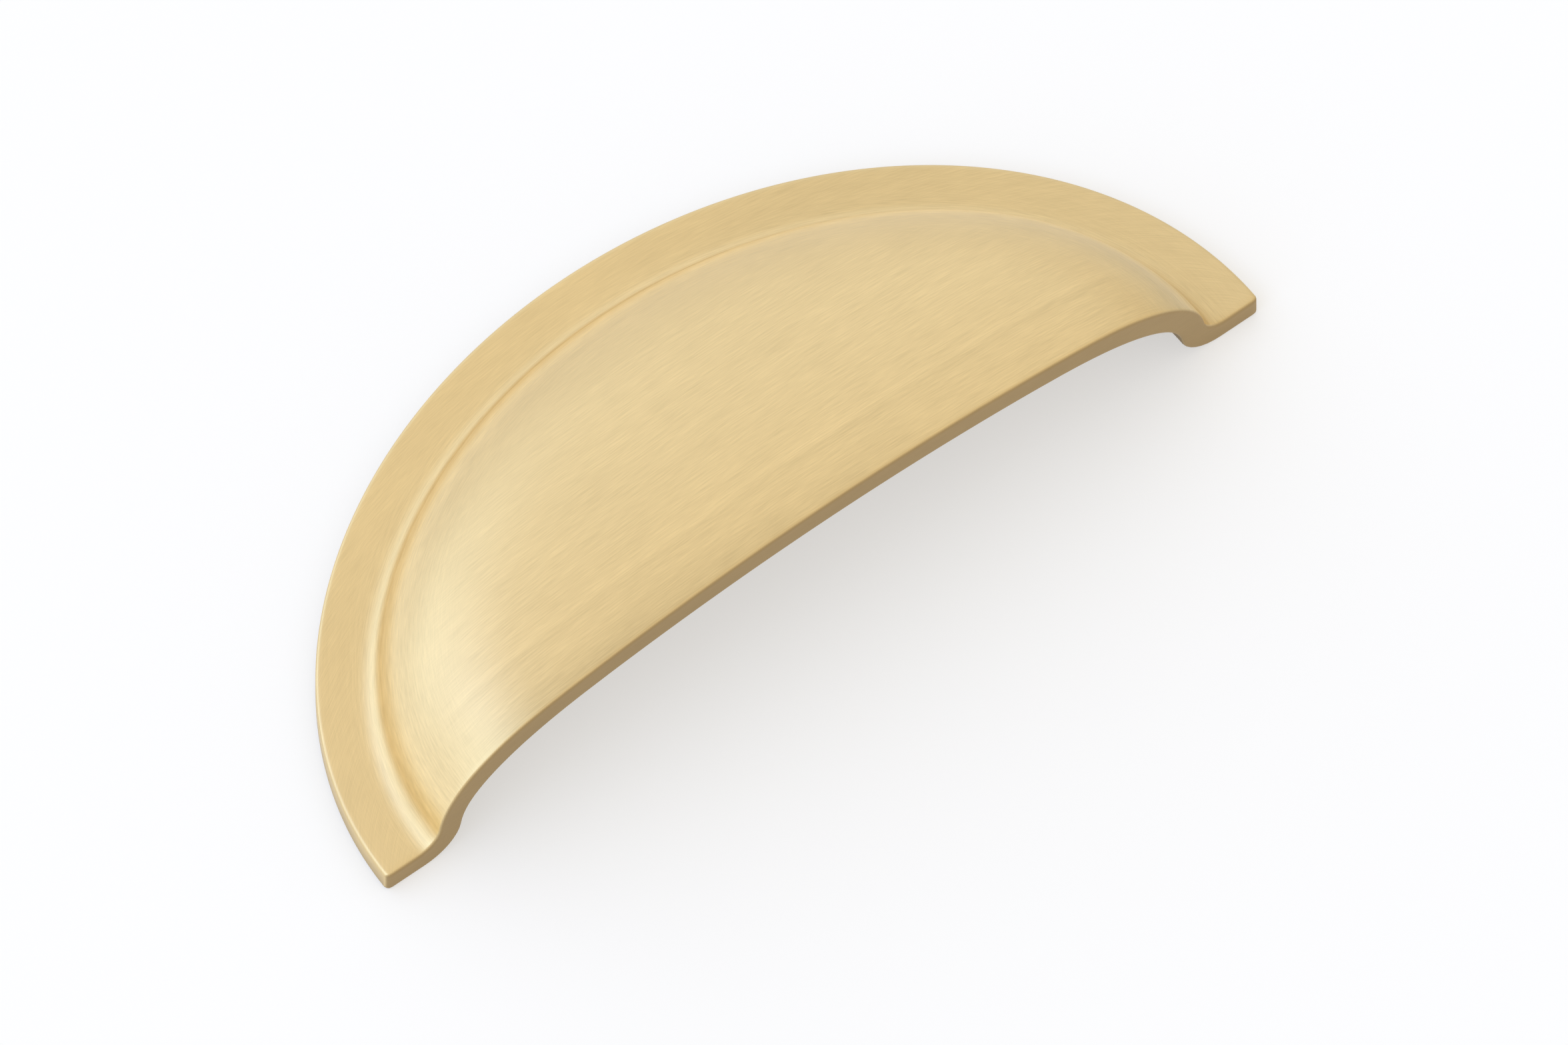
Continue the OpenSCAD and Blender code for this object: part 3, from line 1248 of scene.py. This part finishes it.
@dataclass
class Studio:
    """Pale floor, soft light and the camera that takes the photograph's view.

    The camera's angles are in degrees. Its frame, its aim and the gap under the pull are in
    millimetres, and its distance, its near limit and the floor's size in metres.
    """

    turn: float = 36.75
    elevation: float = 62.99
    frame_width: float = 151.32
    aim_right: float = -3.77
    aim_up: float = 7.675
    distance: float = 0.6
    near_limit: float = 0.01
    fill: tuple[float, float, float] = (0.945, 0.87, 0.74)
    glows: tuple[Glow, ...] = (
        Glow(182, 10, 0.23, 1.4),
        Glow(207, 4, 0.72, 9.0),
        Glow(267, 39, 1.12, 8.0),
        Glow(217, 42, 0.16, 30.0, (0.5, 1.0, 3.4)),
        Glow(138, 30, 0.11, 10.0),
        Glow(106, 0, -0.15, 8.0, (1.0, 1.0, 1.0)),
    )
    floor_size: float = 6.0
    floor_drop: float = 0.03
    floor_colour: tuple[float, float, float] = (0.9, 0.9, 0.9)
    floor_roughness: float = 0.9
    floor_gloss: float = 0.1
    white_share: float = 0.5

    def camera(self, lip: float) -> None:
        """Adds the scene's camera.

        Args:
            lip: Distance of the open side below the origin, in metres.
        """
        a, e = math.radians(self.turn), math.radians(self.elevation)
        right = Vector((math.cos(a), -math.sin(a), 0))
        up = Vector((math.sin(a) * math.sin(e), math.cos(a) * math.sin(e), math.cos(e)))
        back = right.cross(up)
        aim = Vector((0, -lip, 0)) + (self.aim_right * right + self.aim_up * up) * MM
        bpy.ops.object.camera_add(location=aim + back * self.distance)
        camera = bpy.context.object
        camera.rotation_euler = back.to_track_quat("Z", "Y").to_euler()
        camera.data.type = "ORTHO"
        camera.data.ortho_scale = self.frame_width * MM
        camera.data.clip_start = self.near_limit
        bpy.context.scene.camera = camera

    def floor(self) -> None:
        """Adds the pale floor that the pull's back lies on, seen only from above."""
        height = -self.floor_drop * MM
        bpy.ops.mesh.primitive_plane_add(size=self.floor_size, location=(0, 0, height))
        plane = bpy.context.object
        plane.name = "floor"
        made = bpy.data.materials.new("floor_white")
        made.use_nodes = True
        nodes = made.node_tree.nodes
        w = Wiring(made.node_tree)
        shader = nodes["Principled BSDF"]
        w.join((*self.floor_colour, 1.0), shader.inputs["Base Color"])
        w.join(self.floor_roughness, shader.inputs["Roughness"])
        w.join(self.floor_gloss, shader.inputs["Specular IOR Level"])
        rays = w.add("ShaderNodeLightPath").outputs
        seen = w.calc("MAXIMUM", rays["Is Camera Ray"], rays["Is Glossy Ray"])
        seen = w.calc("MAXIMUM", seen, rays["Is Transmission Ray"])
        white = w.add("ShaderNodeEmission", {"Color": (1.0, 1.0, 1.0, 1.0), "Strength": 1.0})
        share = w.product(seen, self.white_share)
        layers = {0: share, 1: shader.outputs[0], 2: white.outputs[0]}
        pale = w.add("ShaderNodeMixShader", layers)
        under = w.add("ShaderNodeNewGeometry").outputs["Backfacing"]
        clear = w.add("ShaderNodeBsdfTransparent").outputs[0]
        both = w.add("ShaderNodeMixShader", {0: under, 1: pale.outputs[0], 2: clear})
        w.join(both.outputs[0], nodes["Material Output"].inputs["Surface"])
        plane.data.materials.append(made)

    def world(self) -> None:
        """Lights the scene from all round, with soft patches in some directions."""
        world = bpy.data.worlds.new("studio")
        bpy.context.scene.world = world
        world.use_nodes = True
        w = Wiring(world.node_tree)
        looking = w.add("ShaderNodeTexCoord").outputs["Generated"]
        level: object = self.fill
        for glow in self.glows:
            inputs = {0: looking, 1: glow.direction()}
            dot = w.add("ShaderNodeVectorMath", inputs, operation="DOT_PRODUCT")
            facing = w.calc("MAXIMUM", dot.outputs["Value"], 0.0)
            patch = w.calc("POWER", facing, glow.tightness)
            level = w.vector("MULTIPLY_ADD", {0: patch, 1: glow.colour(), 2: level})
        w.join(level, world.node_tree.nodes["Background"].inputs["Color"])


def dress(piece: bpy.types.Object, body: CupBody) -> None:
    """Gives the casting its brush lines, its finish and its place in the part.

    Args:
        piece: The finished mesh, its faces still numbered by their surface.
        body: The casting's sizes.
    """
    mesh = piece.data
    GrainMap(body).lay(mesh)
    mesh.polygons.foreach_set("material_index", [0] * len(mesh.polygons))
    mesh.materials.append(BrushedBrass().material())
    select_only(piece)
    bpy.ops.object.shade_smooth_by_angle(angle=SMOOTH_ANGLE)
    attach(piece, "root")
    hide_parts("pull_body")


def main() -> None:
    """Builds the casting, dresses it and sets up the studio."""
    logging.basicConfig(level=logging.INFO, format="%(name)s: %(message)s")
    bpy.context.scene.view_settings.view_transform = "Standard"
    body = CupBody()
    piece = body.build()
    body.sort_faces(piece.data)
    log.info("skin: %d faces", len(piece.data.polygons))
    for side in (-1, 1):
        post = ScrewPost(side, body)
        combine(piece, post.build(), Combination.JOIN)
        combine(piece, post.hole(), Combination.CUT)
    log.info("with posts: %d faces", len(piece.data.polygons))
    dress(piece, body)
    log.info("finish: laid on %s", piece.name)
    studio = Studio()
    studio.world()
    studio.floor()
    studio.camera(body.hole_from_lip * MM)
    log.info("studio: %d patches of light", len(studio.glows))


if __name__ == "__main__":
    main()
